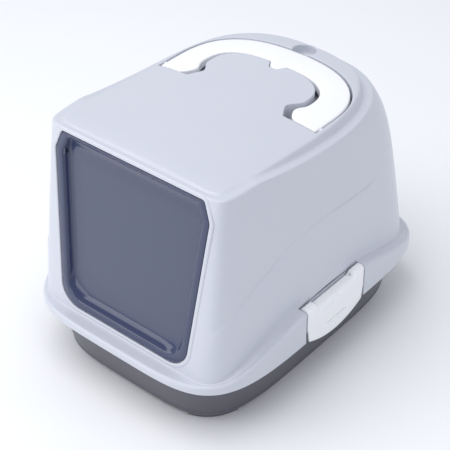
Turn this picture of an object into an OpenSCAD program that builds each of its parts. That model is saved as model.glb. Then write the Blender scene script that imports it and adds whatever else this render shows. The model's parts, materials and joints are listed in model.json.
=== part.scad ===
// Hooded cat litter box: tray, lift-off hood with a swinging door, folding
// handle, two side clips and a carbon filter under the roof.
// Origin: centre of the footprint on the floor. +Z up, the door faces -Y.

/* [Overall] */
// Depth from front lip to back lip
depth = 502; // [440:2:600]
// Width across the hood's two side lips
width = 385; // [340:1:460]
// Height of the roof's crown above the floor
height = 373; // [320:1:450]

/* [Tray] */
// Height of the tray's rim
tray_h = 94.4; // [80:0.2:130]
// Wall of the tray
tray_wall = 2.6; // [2:0.1:4]
// How far the wall leans in from rim to floor
tray_lean = 17; // [6:1:28]
// Height of the four corner feet
foot_h = 9; // [5:0.5:15]
// Reach of each foot along the tray's edges
foot_w = 62; // [40:1:90]

/* [Hood] */
// Wall of the hood
hood_wall = 2.6; // [2:0.1:4]
// Depth of the lip that covers the tray's rim
lip_h = 13; // [10:0.5:18]
// Gap between the lip and the tray's rim
lip_gap = 1.9; // [1:0.1:3]
// Rise of the lip towards each clip
hump_h = 46; // [20:1:60]
// Half of the length over which the lip rises
hump_reach = 215; // [150:5:240]
// Width of the ledge from lip to side wall
ledge_w = 16.5; // [12:0.5:24]
// Width of the ledge from lip to front wall
ledge_front = 21.5; // [16:0.5:30]
// Width of the ledge from lip to back wall
ledge_back = 15; // [12:0.5:24]
// How far each side wall leans in from ledge to roof
side_lean = 14; // [6:1:24]
// How far the back wall leans in from ledge to roof
back_lean = 28; // [10:1:40]
// How far the front wall leans back from ledge to roof
front_lean = 40; // [20:1:60]
// Drop of the roof's shoulder at the back
shoulder_drop = 19; // [10:1:30]
// Width of the shoulder beside the raised roof panel
shoulder_w = 15; // [10:1:22]
// Rounding of the roof's side edge
edge_r = 3; // [2:0.5:6]
// Fall of the roof from its crown to the handle's outer edge
crown = 8; // [0:0.5:14]

/* [Doorway] */
// Width of the doorway at its foot
door_foot_w = 228; // [180:2:250]
// Width of the doorway under its top corners
door_top_w = 270; // [210:2:280]
// Height of the doorway's foot above the floor
door_z0 = 104; // [100:0.5:120]
// Distance from the doorway's head up to the crown
door_head = 10; // [8:0.5:20]
// Rounding of the two lower corners
door_r = 34; // [15:1:50]
// Rise of the two slanting top corners
door_cut_h = 28; // [8:1:30]
// Gap round the door
door_gap = 1.2; // [0.8:0.1:2]
// Thickness of the door
door_t = 2.6; // [2:0.1:4]
// Depth of the door's dished middle
dish = 11; // [4:0.5:16]
// Flat border round the dish
dish_edge = 12; // [8:0.5:20]

/* [Handle] */
// Width across the handle
handle_w = 272; // [220:2:280]
// Front end of the handle's legs
handle_y0 = 14; // [5:1:30]
// Back of the handle
handle_y1 = 155; // [130:1:170]
// Width of the hand hold between the legs
grip_w = 188; // [150:2:200]
// Thickness of the handle
handle_t = 12; // [8:0.5:16]
// Gap round the handle
handle_gap = 3; // [2:0.25:5]
// Depth of the recess under the handle
recess_h = 23; // [20:0.5:30]

/* [Clips] */
// Length of each clip
clip_l = 128; // [90:2:150]
// Thickness of each clip
clip_t = 3.2; // [2.5:0.1:5]
// Length of each clip below the hood's lip
clip_below = 17; // [10:1:25]

/* [Hinges] */
// Radius of the door's two pivots
door_pin_r = 2.5; // [2:0.1:3.5]
// Radius of the handle's two pivots
handle_pin_r = 3; // [2.5:0.1:4]
// Radius of the clips' hinge pins
clip_pin_r = 2; // [1.5:0.1:2.5]
// Running clearance in the bores
fit = 0.06; // [0.02:0.01:0.1]

/* [Filter] */
// Width of the carbon filter
filter_w = 150; // [100:2:180]
// Length of the carbon filter
filter_l = 110; // [80:2:120]
// Thickness of the carbon filter
filter_t = 8; // [4:0.5:12]

/* [Hidden] */
ring_n = 72;          // points in each ring of a shell
hw = width / 2;
hd = depth / 2;

stand_gap = 0.3;      // keeps the hood and the tray just apart
// Height of the flat ledge that rests on the tray's rim, and of the lip that hangs from it
ledge_z = tray_h + stand_gap + hood_wall;
lip_z = ledge_z - lip_h;

// One point of a closed plan outline, flatter than an ellipse. nf and nb set how square its
// front and back are, and pinch narrows it towards the front. Points crowd at the corners.
corner_crowd = 8.6;
function reach(a, b, n, c, s) = pow(pow(abs(c) / a, n) + pow(abs(s) / b, n), -1 / n);
function plan(i, a, bf, bb, nf, nb, pinch = 0) =
    let (t = 360 * i / ring_n + corner_crowd * sin(1440 * i / ring_n), c = cos(t), s = sin(t),
        r = s < 0 ? reach(a, bf, nf, c, s) : reach(a, bb, nb, c, s))
    [r * c * (1 - pinch * pow(min(0, r * s) / bf, 2)), r * s];
function ring(a, bf, bb, nf, nb, pinch = 0) = [for (i = [0:ring_n - 1]) plan(i, a, bf, bb, nf, nb, pinch)];
function lift(pts, z) = [for (p = pts) [p.x, p.y, z]];
function sum(v, i = 0) = i < len(v) ? v[i] + sum(v, i + 1) : 0;
function mean(pts) = [for (k = [0:2]) sum([for (p = pts) p[k]]) / len(pts)];

// A closed solid through a list of rings, capped at both ends
module loft(rings) {
    n = len(rings[0]);
    m = len(rings);
    points = concat([for (r = rings, p = r) p], [mean(rings[0]), mean(rings[m - 1])]);
    sides = [for (j = [0:m - 2], i = [0:n - 1]) each let (k = (i + 1) % n)
        [[j * n + i, j * n + n + i, j * n + k], [j * n + k, j * n + n + i, j * n + n + k]]];
    foot = [for (i = [0:n - 1]) [m * n, i, (i + 1) % n]];
    top = [for (i = [0:n - 1]) [m * n + 1, (m - 1) * n + (i + 1) % n, (m - 1) * n + i]];
    polyhedron(points, concat(sides, foot, top), convexity = 10);
}

// ---- Hood surfaces ----
wall_a = hw - ledge_w;
wall_bb = hd - ledge_back;
wall_bf = hd - ledge_front;
front_pinch = 0.06;                        // how much narrower the hood is at its front
lip_nf = 4.75;                             // squareness of the lip's outline, front and back
lip_nb = 5;
lip_r = 4;                                 // rounding of the lip's top edge
hump_r = 5;                                // and what the hump adds to it
roof_z = height;
side_z = roof_z - shoulder_drop - 2;       // side edge of the roof at the back
front_z = roof_z - 4.5;                    // the same edge at the front
step_w = 3;                                // width of the step up to the raised panel
step_foot = 0.5;                           // rise of the shoulder towards that step
edge_turn = 60;                            // the side edge starts to rise ahead of here
front_ease = 2.5;                          // fall of the raised panel to its front edge
back_ease = 5;                             // and to its back edge

// How far the lip has risen towards a clip, from 0 to 1
function hump(p) = abs(p.y) < hump_reach && abs(p.x) > hw * 0.7 ? cos(90 * p.y / hump_reach) : 0;
function lip_top(p) = ledge_z + hump_h * hump(p);
// Height of the roof's side edge, rising from back to front
function edge_z(y) = side_z + (front_z - side_z) * pow(min(max((edge_turn - y) / (hd * 0.74), 0), 1), 2);
// Height of the raised roof panel, crowned across and eased down to its front and back edges
function roof(x, y) = roof_z
    - crown * pow(x / (handle_w / 2), 2) * (y > 0 ? 1 : max(0.25, 1 + y / (hd * 0.95)))
    - front_ease * pow(max(0, -y - hd * 0.6) / (hd * 0.15), 2)
    - back_ease * pow(max(0, y - hd * 0.4) / (hd * 0.35), 2);

function lip_ring(inset) = ring(hw - inset, hd - inset, hd - inset, lip_nf, lip_nb);
// The lip's rounded top edge, at angle a round it
function lip_edge(a) = let (p0 = lip_ring(0), p1 = lip_ring(1))
    [for (i = [0:ring_n - 1]) let (
        r = lip_r + hump_r * hump(p0[i]),
        p = p0[i] + r * (1 - cos(a)) * (p1[i] - p0[i]))
    [p.x, p.y, lip_top(p0[i]) - r * (1 - sin(a))]];
// The wall at fraction t of the way from ledge to roof. It leans in evenly with height.
function wall_ring(t, inset, lower = 0) =
    let (foot = ring(wall_a - inset, wall_bf - inset, wall_bb - inset, 12, 6, front_pinch))
    [for (i = [0:ring_n - 1]) let (
        top = edge_z(foot[i].y) - edge_r,
        z = lip_top(foot[i]) * (1 - t) + top * t,
        u = (z - ledge_z) / (top - ledge_z),
        p = plan(i, wall_a - side_lean * u - inset, wall_bf - front_lean * u - inset,
            wall_bb - back_lean * u - inset, 12 + 10 * u, 6 - 1.8 * u - 1.4 * pow(u, 6), front_pinch))
    [p.x, p.y, z - lower]];
function shoulder_ring(inset, up) = let (
        pts = ring(wall_a - side_lean - inset, wall_bf - front_lean - inset * 0.6,
            wall_bb - back_lean - 4 - inset, 22, 2.7, front_pinch))
    [for (p = pts) [p.x, p.y, edge_z(p.y) + up]];
function roof_ring(k, lower = 0) = let (
        pts = ring((wall_a - side_lean - shoulder_w - step_w) * k,
            (wall_bf - front_lean - (shoulder_w + step_w) * 0.6) * k,
            (wall_bb - back_lean - 4 - shoulder_w - step_w) * k, 22, 2.7, front_pinch))
    [for (p = pts) [p.x, p.y, max(roof(p.x, p.y), k == 1 ? edge_z(p.y) + step_foot : 0) - lower]];

function hood_outer() = concat(
    [lift(lip_ring(1), lip_z), lift(lip_ring(0), lip_z + 2), lip_edge(0), lip_edge(35), lip_edge(90)],
    [for (t = [0, 0.12, 0.3, 0.5, 0.7, 0.82, 0.9, 0.95, 1]) wall_ring(t, 0)],
    [shoulder_ring(edge_r * 0.3, -edge_r * 0.3), shoulder_ring(edge_r, 0)],
    [shoulder_ring(shoulder_w, step_foot)],
    [for (k = [1, 0.97, 0.8, 0.6, 0.4, 0.2]) roof_ring(k)]);
function hood_inner() = concat(
    [for (k = [0.2, 0.4, 0.6, 0.8, 0.95]) roof_ring(k, hood_wall)],
    [shoulder_ring(shoulder_w + hood_wall, step_foot - hood_wall)],
    [shoulder_ring(edge_r + hood_wall, -hood_wall)],
    [for (t = [0.95, 0.9, 0.7, 0.5, 0.3, 0.12, 0]) wall_ring(t, hood_wall, hood_wall)],
    [[for (q = lip_ring(hood_wall)) [q.x, q.y, lip_top(q) - hood_wall - hump_r * hump(q)]]],
    [lift(lip_ring(hood_wall), lip_z)]);

// ---- Doorway ----
lean = atan(front_lean / (front_z - edge_r - ledge_z));
door_y = wall_bf - (door_z0 - ledge_z) * tan(lean);    // distance of the doorway's foot ahead of the origin
door_h = (height - door_head - door_z0) / cos(lean);   // height of the doorway, along its slope
door_cut = door_h - door_cut_h;
door_axis = door_cut - 2;                              // height of the pivots, along the slope
door_axis_in = 5.5;                                    // depth of the pivots behind the front
stop_in = door_t + 0.6;                                // depth of the ledge that stops the door
stop_w = 7;                                            // width of that ledge
stop_t = 2.6;
door_bearing_l = 3.4;                                  // length of each bearing of the door
door_ear = door_top_w / 2 + stop_t;                    // start of each bearing of the door
door_boss = door_top_w / 2 - 16;                       // start of each boss on the door

// A point given by its place on the sloping front and its depth behind it
function front(x, s, d) =
    [x, -door_y + s * sin(lean) + d * cos(lean), door_z0 + s * cos(lean) - d * sin(lean)];
// The doorway's outline: round lower corners, and upper corners that slant in a little
corner_n = 7;
corner_cut_w = 11;
function doorway(inset) = let (
        f = door_foot_w / 2 - inset,
        t = door_top_w / 2 - inset,
        r = max(door_r - inset, 3),
        foot = [for (i = [0:corner_n]) let (a = -90 + 90 * i / corner_n)
            [f - r + r * cos(a), inset + r + r * sin(a)]],
        slant = atan(corner_cut_w / door_cut_h),
        right = concat(foot, [[t, door_cut - inset * tan(slant / 2)],
            [t - corner_cut_w + inset * (1 + tan(slant) - 1 / cos(slant)), door_h - inset]]))
    concat(right, [for (i = [len(right) - 1:-1:0]) [-right[i].x, right[i].y]]);
function door_ring(inset, d) = [for (p = doorway(inset)) front(p.x, p.y, d)];

module on_front() translate([0, -door_y, door_z0]) rotate([90 - lean, 0, 0]) children();
// A slab of the sloping front, from depth d0 to depth d1
module front_slab(inset, d0, d1)
    on_front() translate([0, 0, -d1]) linear_extrude(d1 - d0) polygon(doorway(inset));
// Anything set on the line of the door's pivots
module at_door_axis() on_front() translate([0, door_axis, -door_axis_in]) rotate([0, 90, 0]) children();

// ---- Handle ----
leg_n = 3;
arc_n = 26;
handle_yc = 48;                         // where the legs run into the bow
handle_pivot_y = 26;                    // place of the pivots, and their depth below the roof
handle_pivot_in = 5;
handle_axis = [handle_pivot_y, roof(handle_w / 2, handle_pivot_y) - handle_pivot_in];
// Outer and inner edge of the handle, grown outwards by g and inwards by h
function bow(a, b, n, yc, t) = let (r = reach(a, b, n, cos(t), sin(t))) [r * cos(t), yc + r * sin(t)];
function handle_out(i, g) = i <= leg_n
    ? [handle_w / 2 + g, handle_y0 - g + (handle_yc - handle_y0 + g) * i / (leg_n + 1)]
    : bow(handle_w / 2 + g, handle_y1 - handle_yc + g, 2.6, handle_yc, 180 * (i - leg_n - 1) / arc_n);
// The hand hold's bow starts at grip_yc and is grip_d deep, with a small tab at its middle
grip_yc = 57;
grip_d = 54;
tab_w = 24;
tab_l = 14;
function tab(x) = tab_l * exp(-pow(2 * x / tab_w, 4));
// The recess is wider inside the legs by this much, ahead of pocket_end
pocket_w = 9;
pocket_end = 34;
function pocket(y) = pocket_w * (1 - min(max((y - pocket_end) / 41, 0), 1));
function handle_in(i, g, h, wide) = i == 0 ? [grip_w / 2 + 4 - h - wide * pocket_w, handle_y0 - g]
    : i <= leg_n ? let (y = handle_y0 + 10 * i) [grip_w / 2 - (i == 2 ? 8 : 4) - h - wide * pocket(y), y]
    : let (
        e = h + wide * pocket(grip_yc),
        p = bow(grip_w / 2 - e, grip_d - h * 0.5, 3, grip_yc, 180 * (i - leg_n - 1) / arc_n))
    [p.x, p.y - tab(p.x)];
function edge_out(g) = let (leg = [for (i = [0:leg_n]) handle_out(i, g)])
    concat(leg, [for (i = [leg_n + 1:leg_n + 1 + arc_n]) handle_out(i, g)],
        [for (i = [leg_n:-1:0]) [-leg[i].x, leg[i].y]]);
function edge_in(g, h, wide) = let (leg = [for (i = [0:leg_n]) handle_in(i, g, h, wide)])
    concat(leg, [for (i = [leg_n + 1:leg_n + 1 + arc_n]) handle_in(i, g, h, wide)],
        [for (i = [leg_n:-1:0]) [-leg[i].x, leg[i].y]]);
// A U-shaped bar under the roof's surface, between depths top and bottom. It is the handle's
// outline grown by g, and by h at its inner edge, and wide is 1 where it takes in the pockets.
module bow_bar(g, h, wide, top, bottom, flat_top = false) {
    out = edge_out(g);
    in = edge_in(g, h, wide);
    loft([for (i = [0:len(out) - 1]) let (o = out[i], n = in[i], ro = roof(o.x, o.y), rn = roof(n.x, n.y))
        [[n.x, n.y, flat_top ? roof_z + 20 : rn - top], [o.x, o.y, flat_top ? roof_z + 20 : ro - top],
            [o.x, o.y, ro - bottom], [n.x, n.y, rn - bottom]]]);
}
handle_ear = handle_w / 2 + handle_gap + 0.4;   // start of each bearing of the handle
handle_bearing_l = 3.2;                         // and its length
thumb_r = 17.4;                                 // finger hollow behind the handle
thumb_y = handle_y1 + 13;
// Anything set on the line of the handle's pivots
module at_handle_axis() translate([0, handle_axis[0], handle_axis[1]]) rotate([0, 90, 0]) children();

// ---- Clips ----
clip_x = hw - 8.5;                      // line of the hinge pins
clip_z = ledge_z + hump_h * cos(90 * clip_l / 2 / hump_reach) - 4.6;
clip_lug_l = 18;
clip_lug_r = 6;
ear_l = 5;                              // length of the bearing at each end of the notch
notch_l = clip_l + 5;
notch_face = clip_x + 3.5;              // back of the notch behind the clip's plate
notch_x = clip_x - 8;                   // back of the space round each hinge pin
pocket_y = clip_l / 2 - clip_lug_l - 4; // where that space starts
slot_l = 48;
rim_x = hw - hood_wall - lip_gap;       // side edge of the tray's rim

// ---- Filter ----
filter_y = -70;                         // middle of the filter
grille_z = roof_z - 27;
grille_t = 3;
rail = 5;                               // border of the grille round the filter
slot_count = 12;
guide_l = 16;                           // length of each of the hood's guides for the grille

tray_a = hw - 14;
tray_b = hd - 13;
rim_z = tray_h - tray_wall;
rim_drop = 5;                           // depth of the rim's turned-down edge
function tray_ring(inset, z) = lift(ring(tray_a - inset, tray_b - inset, tray_b - inset, 4.6, 4.8), z);
function rim_ring(inset, z) = lift(lip_ring(hood_wall + lip_gap + inset), z);

// The tray: outside up to the rim, over it, and down the inside to the floor
module tray() color([0.30, 0.30, 0.35]) {
    floor_z = foot_h + tray_wall;
    side_foot = tray_lean - 1.5;
    loft([tray_ring(tray_lean + 12, foot_h), tray_ring(tray_lean + 4, foot_h),
        tray_ring(tray_lean + 0.5, foot_h + 3), tray_ring(side_foot, foot_h + 8),
        tray_ring(0, rim_z), rim_ring(tray_wall, rim_z), rim_ring(tray_wall, rim_z - rim_drop),
        rim_ring(0, rim_z - rim_drop), rim_ring(0, tray_h),
        tray_ring(tray_wall, tray_h), tray_ring(side_foot + tray_wall, foot_h + 10),
        tray_ring(tray_lean + 2 + tray_wall, floor_z + 2), tray_ring(tray_lean + 12, floor_z)]);
    intersection() {
        loft([tray_ring(tray_lean + 7, 0), tray_ring(tray_lean + 5, 2),
            tray_ring(tray_lean + 3, foot_h + 2)]);
        for (sx = [-1, 1], sy = [-1, 1])
            translate([sx * (tray_a - tray_lean) - foot_w, sy * (tray_b - tray_lean) - foot_w, -1])
                cube([2 * foot_w, 2 * foot_w, foot_h + 2]);
    }
}

// ---- Hood ----
module in_pairs() for (s = [0, 1]) mirror([s, 0, 0]) children();
module hood_skin() {
    loft(concat(hood_inner(), hood_outer()));
    bow_bar(handle_gap + hood_wall, handle_gap + 1 + hood_wall, 1, 1, recess_h + hood_wall);
    translate([0, thumb_y, roof_z - recess_h]) cylinder(r = thumb_r + hood_wall, h = recess_h - 7, $fn = 48);
    intersection() {
        loft(hood_outer());
        difference() {
            front_slab(-stop_t, 0, stop_in + stop_t);
            front_slab(stop_w, -1, stop_in + stop_t + 1);
            on_front() translate([-hw, door_axis - 16, -60]) cube([2 * hw, 60, 60 - stop_in]);
        }
    }
    in_pairs() {
        translate([notch_x - 4.5, -notch_l / 2 - hood_wall, ledge_z - 0.6])
            cube([hw - notch_x + 3, notch_l + 2 * hood_wall, clip_z + 2 - ledge_z]);
        for (y = [filter_y - filter_l / 2, filter_y + filter_l / 2 - guide_l])
            translate([filter_w / 2 + rail + 0.4, y, grille_z - 2])
                cube([hood_wall, guide_l,
                    roof(filter_w / 2 + rail, y + guide_l / 2) - hood_wall / 2 - grille_z + 2]);
    }
}
module hood_shell() resize([2 * hw, 0, 0]) difference() {
    hood_skin();
    bow_bar(handle_gap, handle_gap + 1, 1, 1, recess_h, true);
    translate([0, thumb_y, roof_z - recess_h + hood_wall]) cylinder(r = thumb_r, h = 60, $fn = 48);
    front_slab(0, -20, stop_in);
    front_slab(stop_w, -20, 30);
    // room behind the door for its bosses and for the edge above its pivots
    intersection() {
        front_slab(0, stop_in - 1, 26);
        on_front() translate([-hw, door_axis - 8, -60]) cube([2 * hw, 60, 60]);
    }
    at_door_axis()
        cylinder(r = door_pin_r + 0.8, h = 2 * (door_ear + door_bearing_l), center = true, $fn = 24);
    at_handle_axis()
        cylinder(r = handle_pin_r + 0.5, h = 2 * (handle_ear + handle_bearing_l), center = true, $fn = 24);
    in_pairs() {
        translate([notch_face, -notch_l / 2, lip_z - 5]) cube([20, notch_l, 90]);
        for (y = [-notch_l / 2, pocket_y])
            translate([notch_x, y, clip_z - 9]) cube([20, notch_l / 2 - pocket_y, 50]);
        translate([0, pocket_y, clip_z - 3]) rotate([90, 0, 0]) linear_extrude(2 * pocket_y)
            polygon([[notch_face + 1, -0.9], [notch_x, 8], [notch_x, 40], [notch_face + 1, 40]]);
        translate([clip_x, notch_l, clip_z]) rotate([90, 0, 0])
            cylinder(r = clip_pin_r + 0.8, h = 2 * notch_l, $fn = 24);
    }
}
// A square bearing on a pivot line, from x0 to x1 along it
module bearing(x0, x1, r, bore_r) difference() {
    translate([-r, -r, x0]) cube([2 * r, 2 * r, x1 - x0]);
    translate([0, 0, x0 - 1]) cylinder(r = bore_r, h = x1 - x0 + 2, $fn = 48);
}
module hood() color([0.76, 0.78, 0.84]) {
    hood_shell();
    for (s = [0, 1]) mirror([s, 0, 0]) {
        at_door_axis() bearing(door_ear, door_ear + door_bearing_l, door_pin_r + 2.2, door_pin_r + fit);
        at_handle_axis()
            bearing(handle_ear, handle_ear + handle_bearing_l, handle_pin_r + 1, handle_pin_r + fit);
        for (y = [-1, 1])
            translate([clip_x, y * (notch_l / 2 + ear_l / 2) + ear_l / 2, clip_z]) rotate([90, 0, 0])
                bearing(0, ear_l, clip_pin_r + 1.3, clip_pin_r);
    }
}

// ---- Door ----
module door() color([0.30, 0.33, 0.43, 0.85]) difference() {
    union() {
        loft([door_ring(door_gap + dish_edge + 4, dish + door_t),
            door_ring(door_gap + dish_edge + 1, dish + door_t - 2),
            door_ring(door_gap + dish_edge - 3, door_t), door_ring(door_gap, door_t), door_ring(door_gap, 0),
            door_ring(door_gap + dish_edge, 0), door_ring(door_gap + dish_edge + 4, dish - 2),
            door_ring(door_gap + dish_edge + 8, dish)]);
        for (s = [-1, 1])
            on_front() translate([s * (door_boss + 5) - 5, door_axis - 5, -door_axis_in - 5])
                cube([10, 10, door_axis_in + 4]);
    }
    at_door_axis() translate([0, 0, -door_boss - 11]) cylinder(r = door_pin_r, h = 11.5, $fn = 48);
    at_door_axis() translate([0, 0, door_boss - 0.5]) cylinder(r = door_pin_r, h = 11.5, $fn = 48);
}
module door_pivot() color([0.25, 0.27, 0.36]) at_door_axis()
    translate([0, 0, door_boss])
        cylinder(r = door_pin_r, h = door_ear + door_bearing_l - 0.2 - door_boss, $fn = 48);

// ---- Handle ----
module handle() color([0.96, 0.97, 0.98]) difference() {
    bow_bar(0, 0, 0, 0.4, handle_t);
    for (x = [handle_w / 2 - 12, -handle_w / 2 - 1])
        at_handle_axis() translate([0, 0, x]) cylinder(r = handle_pin_r, h = 13, $fn = 48);
}
module handle_pivot() color([0.90, 0.91, 0.93]) at_handle_axis()
    translate([0, 0, handle_w / 2 - 12])
        cylinder(r = handle_pin_r, h = handle_ear + handle_bearing_l + 11.8 - handle_w / 2, $fn = 48);

// ---- Clips ----
module clip_plate() {
    top = clip_z + 1;
    half = clip_l / 2;
    foot = half - 10;
    bow = [for (i = [0:12]) let (y = -foot + 2 * foot * i / 12)
        [y, lip_z - 2 - (clip_below - 2) * (1 - pow(y / foot, 2))]];
    polygon(concat(bow, [[half - 3, lip_z + 18], [half, top - 4], [half, top], [half - clip_lug_l, top],
        [half - clip_lug_l - 7, top - 3], [-half + clip_lug_l + 7, top - 3],
        [-half + clip_lug_l, top], [-half, top], [-half, top - 4], [-half + 3, lip_z + 18]]));
}
module clip() color([0.96, 0.97, 0.98]) difference() {
    union() {
        translate([hw - clip_t, 0, 0]) rotate([90, 0, 90]) linear_extrude(clip_t) clip_plate();
        for (y = [-clip_l / 2, clip_l / 2 - clip_lug_l])
            translate([clip_x, y + clip_lug_l, clip_z]) rotate([90, 0, 0]) linear_extrude(clip_lug_l) {
                circle(r = clip_lug_r, $fn = 64);
                polygon([[0, clip_lug_r], [hw - clip_x - 1.5, 3.5], [hw - clip_x, 1],
                    [hw - clip_x, -clip_lug_r - 2], [0, -clip_lug_r]]);
            }
        // bead that snaps over the edge of the tray's rim, and the thumb ridge
        translate([rim_x + stand_gap + 0.1, -20, tray_h - tray_wall - 9]) cube([4, 40, 3]);
        translate([hw - 1, -slot_l / 2, lip_z + 4]) cube([2, slot_l, 1.6]);
    }
    for (y = [-clip_l / 2 - 1, clip_l / 2 - clip_lug_l - 1])
        translate([clip_x, y + clip_lug_l + 2, clip_z]) rotate([90, 0, 0])
            cylinder(r = clip_pin_r + fit, h = clip_lug_l + 2, $fn = 48);
    translate([hw - 1.2, -slot_l / 2, lip_z + 6]) cube([4, slot_l, 1.4]);
}
// The two short pins that one clip turns on
module clip_pins() color([0.80, 0.81, 0.84])
    for (y = [-pocket_y + 2, notch_l / 2 + ear_l])
        translate([clip_x, y, clip_z]) rotate([90, 0, 0])
            cylinder(r = clip_pin_r, h = notch_l / 2 + ear_l - pocket_y + 2, $fn = 48);

// ---- Filter ----
module rounded(w, l, r) translate([r, r]) offset(r, $fn = 24) square([w - 2 * r, l - 2 * r]);
module filter_pad() color([0.10, 0.10, 0.11])
    translate([-filter_w / 2, filter_y - filter_l / 2, grille_z + grille_t + 0.2])
        linear_extrude(filter_t) rounded(filter_w, filter_l, 8);
module filter_grille() color([0.72, 0.74, 0.80]) difference() {
    translate([-filter_w / 2 - rail, filter_y - filter_l / 2 - rail, grille_z])
        cube([filter_w + 2 * rail, filter_l + 2 * rail, grille_t + 6]);
    translate([-filter_w / 2 - 0.5, filter_y - filter_l / 2 - 0.5, grille_z + grille_t])
        cube([filter_w + 1, filter_l + 1, 10]);
    for (i = [0:slot_count - 1], j = [0, 1])
        translate([-filter_w / 2 + (i + 0.5) * filter_w / slot_count - 3,
            filter_y - filter_l / 2 + 5 + j * (filter_l / 2 - 2.5), grille_z - 1])
            cube([6, filter_l / 2 - 7.5, grille_t + 2]);
}

tray();
hood();
door();
mirror([1, 0, 0]) door_pivot();  // door_pivot_left
door_pivot();  // door_pivot_right
handle();
mirror([1, 0, 0]) handle_pivot();  // handle_pivot_left
handle_pivot();  // handle_pivot_right
mirror([1, 0, 0]) clip();  // clip_left
clip();  // clip_right
mirror([1, 0, 0]) clip_pins();  // clip_pins_left
clip_pins();  // clip_pins_right
filter_pad();
filter_grille();
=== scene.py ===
import bmesh
import bpy
import json
import math
import numpy as np
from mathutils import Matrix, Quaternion, Vector


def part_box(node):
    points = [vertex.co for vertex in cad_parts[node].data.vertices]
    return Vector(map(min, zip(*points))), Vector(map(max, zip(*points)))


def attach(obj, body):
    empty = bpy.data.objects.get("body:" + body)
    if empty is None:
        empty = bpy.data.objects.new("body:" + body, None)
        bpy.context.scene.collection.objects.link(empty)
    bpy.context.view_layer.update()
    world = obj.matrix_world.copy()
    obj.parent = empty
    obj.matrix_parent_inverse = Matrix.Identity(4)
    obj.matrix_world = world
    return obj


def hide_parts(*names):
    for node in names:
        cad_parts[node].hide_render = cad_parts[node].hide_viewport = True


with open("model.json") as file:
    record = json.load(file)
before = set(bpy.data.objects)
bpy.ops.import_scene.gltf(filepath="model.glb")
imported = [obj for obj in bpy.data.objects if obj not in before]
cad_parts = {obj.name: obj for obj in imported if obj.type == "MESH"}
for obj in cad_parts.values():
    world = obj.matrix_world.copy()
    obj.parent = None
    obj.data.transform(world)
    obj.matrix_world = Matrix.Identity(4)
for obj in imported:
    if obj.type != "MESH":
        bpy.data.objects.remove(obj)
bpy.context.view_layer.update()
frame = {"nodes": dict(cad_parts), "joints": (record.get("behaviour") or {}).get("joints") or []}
mm = 0.001
print("frame loaded")


def nodeBox(node):  # lowest and highest corner in millimetres
    low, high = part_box(node)
    return np.array(low) / mm, np.array(high) / mm


def pivotOf(jointName):
    joint = next(j for j in frame["joints"] if j["name"] == jointName)
    return np.array(joint["pos_m"]) / mm


# ---------- camera, floor and light ----------
view = {
    "azimuth": 40.77, "elevation": 36.49, "roll": -0.86, "distance": 1.859,
    "aim": (0, 0, 0.18), "lens": 104.08, "sensor": 36.0, "shift": (-0.0105, -0.0299),
}
studio = {
    "floorSize": 9.0, "floorColour": (0.95, 0.955, 0.965), "worldColour": (0.90, 0.925, 1.0), "worldStrength": 0.70,
    # place, aim, size, watts and colour of each soft light
    "lights": {
        "overhead": ((-0.3, -0.55, 2.2), (0, 0, 0.2), (2.2, 1.8), 23, (1, 1, 1)),
        "fromLeft": ((-1.8, -2.1, 1.2), (0, 0, 0.15), (1.7, 1.5), 17, (1, 1, 1)),
        "lowFront": ((-0.3, -2.7, 0.5), (0, -0.2, 0.12), (1.8, 0.7), 7, (1, 1, 1)),
        "edgeStrip": ((2.3, 0.9, 1.1), (0.1, 0, 0.15), (0.35, 1.6), 3.5, (1, 1, 1)),
    },
}


def makeCamera():
    az, el = math.radians(view["azimuth"]), math.radians(view["elevation"])
    back = Vector((math.sin(az) * math.cos(el), -math.cos(az) * math.cos(el), math.sin(el)))
    camera = bpy.data.objects.new("camera", bpy.data.cameras.new("camera"))
    camera.data.lens = view["lens"]
    camera.data.sensor_width = view["sensor"]
    camera.data.shift_x, camera.data.shift_y = view["shift"]
    camera.location = Vector(view["aim"]) + back * view["distance"]
    turn = (-back).to_track_quat("-Z", "Y")
    camera.rotation_mode = "QUATERNION"
    roll = Quaternion((0, 0, 1), math.radians(view["roll"]))
    camera.rotation_quaternion = turn @ roll
    bpy.context.scene.collection.objects.link(camera)
    bpy.context.scene.camera = camera


def areaLight(name, place, aim, size, watts, colour=(1, 1, 1)):
    lamp = bpy.data.lights.new(name, "AREA")
    lamp.shape = "RECTANGLE"
    lamp.size, lamp.size_y = size
    lamp.energy = watts
    lamp.color = colour
    obj = bpy.data.objects.new(name, lamp)
    obj.location = place
    obj.rotation_euler = (Vector(aim) - Vector(place)).to_track_quat("-Z", "Y").to_euler()
    bpy.context.scene.collection.objects.link(obj)


def makeStudio():
    half = studio["floorSize"] / 2
    mesh = bpy.data.meshes.new("floor")
    corners = [(-half, -half, 0), (half, -half, 0), (half, half, 0), (-half, half, 0)]
    mesh.from_pydata(corners, [], [(0, 1, 2, 3)])
    floor = bpy.data.objects.new("floor", mesh)
    bpy.context.scene.collection.objects.link(floor)
    paint = bpy.data.materials.new("paleFloor")
    paint.use_nodes = True
    surface = paint.node_tree.nodes["Principled BSDF"]
    surface.inputs["Base Color"].default_value = (*studio["floorColour"], 1)
    surface.inputs["Roughness"].default_value = 0.6
    floor.data.materials.append(paint)
    world = bpy.data.worlds.new("studio")
    world.use_nodes = True
    sky = world.node_tree.nodes["Background"]
    sky.inputs["Color"].default_value = (*studio["worldColour"], 1)
    sky.inputs["Strength"].default_value = studio["worldStrength"]
    bpy.context.scene.world = world
    bpy.context.scene.view_settings.view_transform = "Standard"
    for name, light in studio["lights"].items():
        areaLight(name, *light)


makeCamera()
makeStudio()
print("camera and studio made")


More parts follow.
